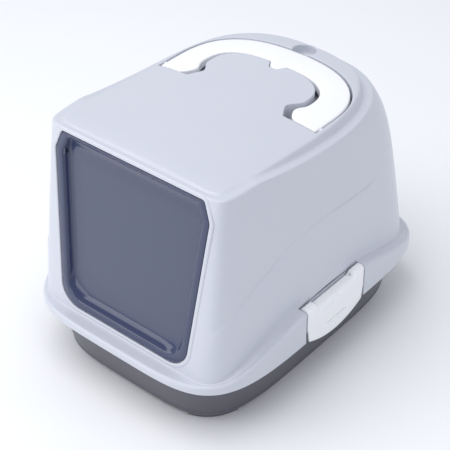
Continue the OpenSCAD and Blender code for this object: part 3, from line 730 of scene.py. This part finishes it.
def evenPath(corners, radii, arcs, edge=26):  # a rounded outline whose points match from one outline to the next
    path = []
    corners = np.asarray(corners, float)
    count = len(corners)
    for i, (p, r, arc) in enumerate(zip(corners, radii, arcs)):
        a, b = corners[i - 1] - p, corners[(i + 1) % count] - p
        room = 0.48 * min(np.linalg.norm(a), np.linalg.norm(b))
        a, b = a / np.linalg.norm(a), b / np.linalg.norm(b)
        half = math.acos(np.clip(a @ b, -1, 1)) / 2
        reach = min(r / math.tan(half), room)
        bend = reach * math.tan(half)
        centre = p + (a + b) / np.linalg.norm(a + b) * bend / math.sin(half)
        start, end = p + a * reach - centre, p + b * reach - centre
        t0, t1 = math.atan2(start[1], start[0]), math.atan2(end[1], end[0])
        t1 = t0 + (t1 - t0 + math.pi) % (2 * math.pi) - math.pi
        path.append([centre + bend * np.array([math.cos(t), math.sin(t)]) for t in np.linspace(t0, t1, arc)])
    out = []
    for arcPoints, following in zip(path, path[1:] + path[:1]):
        out += arcPoints + [arcPoints[-1] + (following[0] - arcPoints[-1]) * k / edge for k in range(1, edge)]
    return np.array(out)


def makeDoor():
    rings, clear = [], []
    for *outline, depth in door["back"]:
        rings.append(onFront(doorOutline(*outline), depth))
        clear.append(0.5)
    for *outline, depth, clearAndUnshaded in door["front"]:
        rings.append(onFront(doorOutline(*outline), depth))
        clear.append(clearAndUnshaded)
    inner = doorOutline(*door["front"][-1][:4])
    middle = inner.mean(0)
    for k in (0.8, 0.5, 0.2):  # the panel, in ever smaller outlines
        rings.append(onFront(middle + (inner - middle) * k, door["dish"]))
        clear.append(1.0)
    piece = loft("door_panel", np.array(rings))
    # per point: how clear the plastic is, and how far out of the painted shade
    values = np.repeat(clear, len(inner)).tolist() + [0.5, 1.0]
    shade = piece.data.attributes.new("clearAndUnshaded", "FLOAT", "POINT")
    shade.data.foreach_set("value", values)
    return finishMesh(piece, "door", tintedDoor, ["door"], sharp=50)


def makeDoorBosses():
    axisUp = (doorPivot[2] - doorway["z"] + 5.5 * math.sin(leanAngle)) / math.cos(leanAngle)
    x0, x1 = door["boss"]
    near, far = door["bossDeep"]
    up = door["bossUp"]
    for side in (-1, 1):
        path = evenPath([(side * x0, axisUp - up), (side * x1, axisUp - up), (side * x1, axisUp + up), (side * x0, axisUp + up)][::side],
                        [1.5] * 4, [5] * 4, edge=3)
        rings = [onFront(outlineOffset(path, g), d) for g, d in ((-1, far), (0, far - 1), (0, near))]
        finishMesh(loft("door_boss_" + ("left" if side < 0 else "right"), rings), "door", pivotPlastic)


makeDoor()
makeDoorBosses()
print("door made")


# ---------- the handle ----------
def makeHandle():
    out, inn = handleEdges()
    r, top, low = handle["round"], handle["below"], handle["thick"]
    turns = np.linspace(0, math.pi / 2, 6)
    rings = []
    ends = [(r * (1 - math.cos(a)), r * (1 - math.sin(a))) for a in turns[:-1]]
    stations = [(out[0], inn[0], along - r, inset) for along, inset in ends]
    stations += [(o, n, 0, 0) for o, n in zip(out[1:-1], inn[1:-1])]
    stations += [(out[-1], inn[-1], along - r, inset) for along, inset in reversed(ends)]
    for o, n, along, inset in stations:
        wide = np.linalg.norm(n - o)
        across = (n - o) / wide
        section = [(inset, low - inset), (inset, top + r)]
        section += [(r - r * math.cos(a) + inset, top + r - (r - inset) * math.sin(a)) for a in turns[1:]]
        section += [(wide * t, top + inset - 0.5 * math.sin(math.pi * t)) for t in (0.2, 0.4, 0.6, 0.8)]
        section += [(wide - s, d) for s, d in reversed(section[:7])]
        shift = np.array([0, -min(0, along) - r if inset else 0])
        ring = []
        for s, d in section:
            x, y = o + across * s + np.array([0, along + r if inset or along else 0])
            ring.append((x, y, roofAt(x, y) - d))
        rings.append(ring)
    piece = loft("handle_bow", np.array(rings), caps="face")
    fixNormals(piece)
    return finishMesh(piece, "handle", whitePlastic, ["handle"], sharp=40)


makeHandle()
print("handle made")


# ---------- the clips ----------
def clipSection(y, side):  # a closed slice of the clip: out from the centre, and up
    half, far = clip["length"] / 2, abs(y)
    face, thick = halfW - 0.2, clip["thick"]
    px, pz, r = clipPivot[0], clipPivot[2], clip["lugRound"]
    lug = np.array([(face, pz + r), (px - r, pz + r), (px - r, pz - r), (face - thick, pz - r - 1.2)])
    topZ, inX = pz - 2.4, px - 5.6
    saddle = np.array([(face, topZ - 1.6), (inX, topZ + 1.2), (inX, topZ + 1.2 - thick), (face - thick, topZ - 1.6 - thick)])
    t = smooth((far - (half - clip["lugLong"] - 7)) / 7)
    top = saddle + (lug - saddle) * t
    radii = np.array([6.5, 1.2, 1.2, 3.6]) * (1 - t) + np.array([7, r - 0.2, r - 0.2, 1.0]) * t
    foot = half - 4
    low = lipZ - 2 - (clip["below"] - 2) * (1 - min(1, far / foot) ** 2)
    low += 22 * smooth((far - foot + 0.5) / 4)
    corners = [(face, low), *top, (face - thick, low)]
    return evenPath(corners, [1.1, *radii, 0.8], [5, 9, 8, 8, 5, 4], edge=4)


def makeClip(side):
    name = "clip_left" if side < 0 else "clip_right"
    half, r = clip["length"] / 2, 1.0
    middle = np.concatenate([np.linspace(-half + r, -half + 12, 16), np.linspace(-half + 12.5, half - 12.5, 72), np.linspace(half - 12, half - r, 16)])
    stations = [(-half + r * (1 - math.cos(a)), r * (1 - math.sin(a))) for a in np.linspace(0, math.pi / 2, 4)[:-1]]
    stations = stations + [(y, 0) for y in middle] + [(-y, inset) for y, inset in reversed(stations)]
    rings = []
    for y, inset in stations:
        section = clipSection(np.clip(y, -half + r, half - r), side)
        section = outlineOffset(section, -0.9 * inset) if inset else section
        rings.append(np.column_stack([side * section[:, 0], np.full(len(section), y), section[:, 1]]))
    piece = loft(name + "_plate", np.array(rings), caps="face")
    fixNormals(piece)
    face, slotHalf = halfW - 0.2, clip["slotLong"] / 2
    slotZ, ridgeZ = lipZ + clip["slotUp"], lipZ + 4.6
    slot = evenPath([(-slotHalf, slotZ - 0.7), (slotHalf, slotZ - 0.7), (slotHalf, slotZ + 0.7), (-slotHalf, slotZ + 0.7)], [0.6] * 4, [5] * 4, edge=3)
    cutter = loft("slot", [[(side * x, y, z) for y, z in slot] for x in (face - clip["slotDeep"], face + 3)], caps="face")
    fixNormals(cutter)
    combine(piece, cutter, "DIFFERENCE")
    ridge = evenPath([(-slotHalf, ridgeZ - 1), (slotHalf, ridgeZ - 1), (slotHalf, ridgeZ + 1), (-slotHalf, ridgeZ + 1)], [0.9] * 4, [5] * 4, edge=3)
    levels = ((0, face - 1), (0, face + 0.3), (-0.3, face + 0.7), (-0.8, face + 0.9))
    raised = loft("ridge", [[(side * x, y, z) for y, z in outlineOffset(ridge, g)] for g, x in levels], caps="face")
    fixNormals(raised)
    combine(piece, raised, "UNION")
    rimX, beadZ = halfW - hood["wall"] - 1.9 + 0.4, lipZ + 10.1 - 2.6 - 9
    bead = [[(side * x, y, z) for x, z in ((rimX, beadZ + 0.6), (rimX + 0.6, beadZ), (face - 1, beadZ), (face - 1, beadZ + 3), (rimX + 0.6, beadZ + 3))] for y in (-20, 20)]
    hook = loft("hook", bead, caps="face")
    fixNormals(hook)
    combine(piece, hook, "UNION")
    return finishMesh(piece, name, whitePlastic, [name], sharp=40)


for side in (-1, 1):
    makeClip(side)
print("clips made")

# ---------- the tray ----------
tray = {"sideInset": 14, "endInset": 13, "lean": 17, "foot": 9, "footWide": 62, "wall": 2.6, "rimDrop": 5, "rimRound": 1.2, "bottomRound": 6, "lipGap": 1.9}


def trayRing(inset, z):
    a, b = halfW - tray["sideInset"] - inset, halfD - tray["endInset"] - inset
    return withZ(plan(a, b, b, 4.6, 4.8), z)


def rimRing(inset, z):
    return withZ(lipRing(hood["wall"] + tray["lipGap"] + inset), z)


def makeTray():
    top = nodeBox("tray")[1][2]
    rim, wall, lean, foot, r = top - tray["wall"], tray["wall"], tray["lean"], tray["foot"], tray["rimRound"]
    side, bend = lean - 1.5, tray["bottomRound"]
    rings = [trayRing(lean + d, foot) for d in (150, 110, 70, 40, 24, 14, bend - 0.5)]
    rings += [trayRing(side - 0.4 + bend - bend * math.sin(a), foot + bend - bend * math.cos(a)) for a in np.linspace(0, math.pi / 2, 8)[1:]]
    rings += [trayRing(side * (1 - t), foot + 8 + (rim - 2 - foot - 8) * t) for t in np.linspace(0, 1, 12)]
    rings += [trayRing(0, rim), rimRing(wall, rim), rimRing(wall, rim - tray["rimDrop"] + 0.5), rimRing(wall - 0.5, rim - tray["rimDrop"])]
    rings += [rimRing(0.5, rim - tray["rimDrop"]), rimRing(0, rim - tray["rimDrop"] + 0.5)]
    rings += [rimRing(r - r * math.cos(a), top - r + r * math.sin(a)) for a in np.linspace(0, math.pi / 2, 5)]
    rings += [trayRing(wall - r + r * math.sin(a), top - r + r * math.cos(a)) for a in np.linspace(0, math.pi / 2, 5)]
    rings += [trayRing(wall + (side) * t, top - 3 - (top - 3 - foot - 10) * t) for t in np.linspace(0, 1, 10)]
    floorZ = foot + wall
    rings += [trayRing(lean + wall + 1 + 6 * math.sin(a), floorZ + 6 * (1 - math.sin(a))) for a in np.linspace(0.2, math.pi / 2, 5)]
    rings += [trayRing(lean + d, floorZ) for d in (24, 45, 80, 120, 155)]
    piece = loft("tray_pan", np.array(rings))
    feet = [(7, 1), (6, 0.2), (5.4, 1.4), (4.2, foot - 1), (3.6, foot + 2)]
    wide = tray["footWide"]
    for sx in (-1, 1):
        for sy in (-1, 1):
            band = loft("foot", np.array([trayRing(lean + 11, 0)] + [trayRing(lean + d, z) for d, z in feet]))
            x, y = sx * (halfW - tray["sideInset"] - lean), sy * (halfD - tray["endInset"] - lean)
            box = [(x - wide, y - wide), (x + wide, y - wide), (x + wide, y + wide), (x - wide, y + wide)]
            combine(band, loft("corner", [[(*p, z) for p in box] for z in (-1, foot + 1)], caps="face"), "INTERSECT")
            combine(piece, band, "UNION")
    return finishMesh(piece, "tray", trayPlastic, ["tray"], sharp=40)


makeTray()
print("tray made")

# ---------- the filter ----------
filterLook = {"rail": 5, "floor": 3, "rows": 2, "bars": 13, "barWide": 6.5, "padRound": 8, "edge": 1.6}


def slatTree(material):  # two rows of slats, as a Geometry Nodes tree
    tree = bpy.data.node_groups.new("filterSlats", "GeometryNodeTree")
    socket(tree, "Geometry", "Geometry")
    socket(tree, "Slats", "Int", value=12)
    for name in ("Pitch", "Slat Width", "Slat Length", "Slat Height", "Row Pitch"):
        socket(tree, name, "Float", value=0.01)
    socket(tree, "Start", "Vector")
    socket(tree, "Geometry", "Geometry", "OUTPUT")
    nodes = tree.nodes
    inward, outward = nodes.new("NodeGroupInput"), nodes.new("NodeGroupOutput")

    def vector(x, y, z):
        made = nodes.new("ShaderNodeCombineXYZ")
        for name, source in zip("XYZ", (x, y, z)):
            if source:
                link(tree, inward.outputs[source], made.inputs[name])
        return made.outputs[0]

    row = nodes.new("GeometryNodeMeshLine")
    link(tree, inward.outputs["Slats"], row.inputs["Count"])
    link(tree, inward.outputs["Start"], row.inputs["Start Location"])
    link(tree, vector("Pitch", None, None), row.inputs["Offset"])
    column = nodes.new("GeometryNodeMeshLine")
    column.inputs["Count"].default_value = filterLook["rows"]
    link(tree, vector(None, "Row Pitch", None), column.inputs["Offset"])
    slat = nodes.new("GeometryNodeMeshCube")
    link(tree, vector("Slat Width", "Slat Length", "Slat Height"), slat.inputs["Size"])
    source = slat.outputs["Mesh"]
    for line in (row, column):
        place = nodes.new("GeometryNodeInstanceOnPoints")
        link(tree, line.outputs["Mesh"], place.inputs["Points"])
        link(tree, source, place.inputs["Instance"])
        source = place.outputs["Instances"]
    real, paint = nodes.new("GeometryNodeRealizeInstances"), nodes.new("GeometryNodeSetMaterial")
    paint.inputs["Material"].default_value = material
    link(tree, source, real.inputs["Geometry"])
    link(tree, real.outputs["Geometry"], paint.inputs["Geometry"])
    link(tree, paint.outputs["Geometry"], outward.inputs[0])
    return tree


def runTree(obj, tree, values):  # sets the inputs, then keeps the result as a plain mesh
    modifier = obj.modifiers.new(tree.name, "NODES")
    modifier.node_group = tree
    for item in tree.interface.items_tree:
        if item.item_type == "SOCKET" and item.in_out == "INPUT" and item.name in values:
            modifier[item.identifier] = values[item.name]
    shape = bpy.data.meshes.new_from_object(obj.evaluated_get(bpy.context.evaluated_depsgraph_get()))
    obj.modifiers.remove(modifier)
    obj.data = shape
    return obj


def roundedBox(low, high, r):
    return evenPath([(low[0], low[1]), (high[0], low[1]), (high[0], high[1]), (low[0], high[1])], [r] * 4, [8] * 4, edge=12)


def makeFilter():
    low, high = nodeBox("filter_grille")
    rail, floor, edge = filterLook["rail"], filterLook["floor"], 0.6
    outer, inner = roundedBox(low, high, 3), roundedBox(low[:2] + rail, high[:2] - rail, 2)
    levels = [(outer, low[2] + edge, -edge), (outer, low[2] + edge * 2, 0), (outer, high[2] - edge, 0), (outer, high[2], -edge),
              (inner, high[2], edge * 0.5), (inner, high[2] - edge, 0), (inner, low[2], 0)]
    rings = [withZ(outlineOffset(path, g), z) for path, z, g in levels]
    rings[0][:, 2] = low[2]
    frameRing = loft("filter_frame", np.array(rings), loop=True)
    fixNormals(frameRing)
    size = (high - low)[:2] - 2 * rail
    pitch, half = size[0] / 12, size[1] / 2
    slats = makeMesh("filter_slats", [(0, 0, 0)], [])
    tree = slatTree(grillePlastic)
    runTree(slats, tree, {
        "Slats": filterLook["bars"], "Pitch": pitch * mm, "Slat Width": (pitch - 6) * mm, "Slat Length": (half + 3) * mm,
        "Slat Height": floor * mm, "Row Pitch": (half) * mm,
        "Start": ((low[0] + rail) * mm, (low[1] + rail + half / 2) * mm, (low[2] + floor / 2) * mm)})
    middle = [low[0] + rail - 1, (low[1] + high[1]) / 2]
    spine = evenPath([(middle[0], middle[1] - 5), (high[0] - rail + 1, middle[1] - 5), (high[0] - rail + 1, middle[1] + 5), (middle[0], middle[1] + 5)], [1] * 4, [4] * 4, edge=4)
    cross = loft("filter_spine", np.array([withZ(spine, low[2]), withZ(spine, low[2] + floor)]), caps="face")
    combine(frameRing, cross, "UNION")
    finishMesh(frameRing, "filter", grillePlastic, ["filter_grille"])
    finishMesh(slats, "filter", grillePlastic)
    low, high = nodeBox("filter_pad")
    path, tall = roundedBox(low, high, filterLook["padRound"]), high[2] - low[2]
    middle, levels = (low + high) / 2, [(-12, 0.0), (-3, 0.02), (-1.2, 0.12), (-0.3, 0.3), (0, 0.5), (-0.3, 0.7), (-1.2, 0.88), (-3, 0.97), (-8, 1.0)]
    rings = [withZ(outlineOffset(path, g), low[2] + tall * h) for g, h in levels]
    for k in (0.6, 0.3, 0.1):
        rings.append(withZ(middle[:2] + (path - middle[:2]) * k, high[2] - 0.25 * (1 - k)))
        rings.insert(0, withZ(middle[:2] + (path - middle[:2]) * k, low[2]))
    pad = finishMesh(loft("filter_fleece", np.array(rings)), "filter", fleece, ["filter_pad"])


makeFilter()
print("filter made")

for node, look in (("door_pivot_left", pivotPlastic), ("door_pivot_right", pivotPlastic), ("handle_pivot_left", whitePlastic),
                   ("handle_pivot_right", whitePlastic), ("clip_pins_left", pinPlastic), ("clip_pins_right", pinPlastic)):
    kept = frame["nodes"][node]
    kept.data.materials.clear()
    kept.data.materials.append(look)
print("pins painted")
